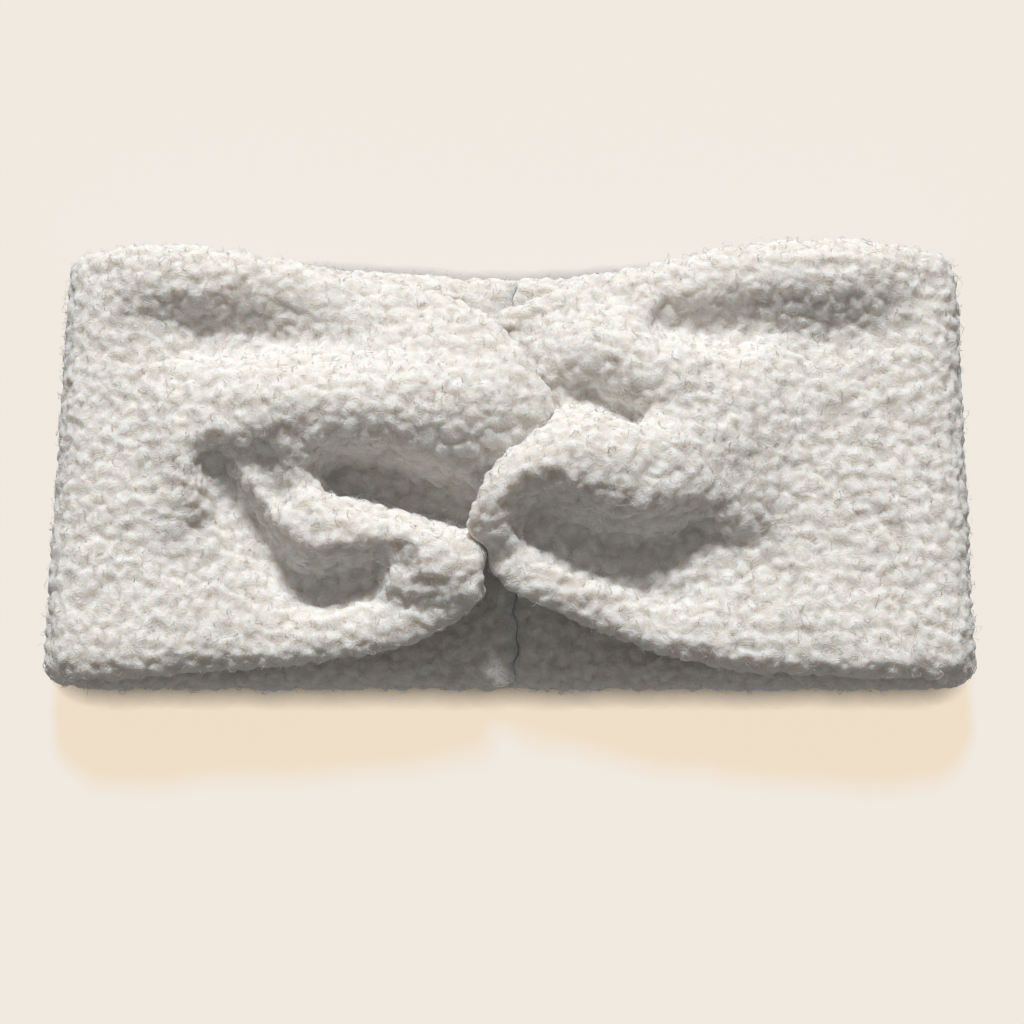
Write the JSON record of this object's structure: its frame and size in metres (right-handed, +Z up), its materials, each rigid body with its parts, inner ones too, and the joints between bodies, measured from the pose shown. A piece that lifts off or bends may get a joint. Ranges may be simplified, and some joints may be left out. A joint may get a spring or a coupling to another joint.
{
  "type": "ear warmer headband",
  "caption": "Wide ear warmer headband of thick cream curly fleece, a closed loop laid flat, with a puffy twist knot in the middle of the front.",
  "frame": {"origin": "on the surface that the band lies on, under the middle of its box", "axes": "+X along the laid band to the wearer's left side fold, +Y to the far hem, +Z up through the knot"},
  "size_m": [0.2398, 0.1162, 0.0484],
  "materials": {
    "cream_fleece_left": "curly boucle pile, cream white, matt",
    "cream_fleece_right": "curly boucle pile, cream white, matt"
  },
  "bodies": {
    "root": {"left_band": "cream_fleece_left", "right_band": "cream_fleece_right"}
  },
  "joints": []
}
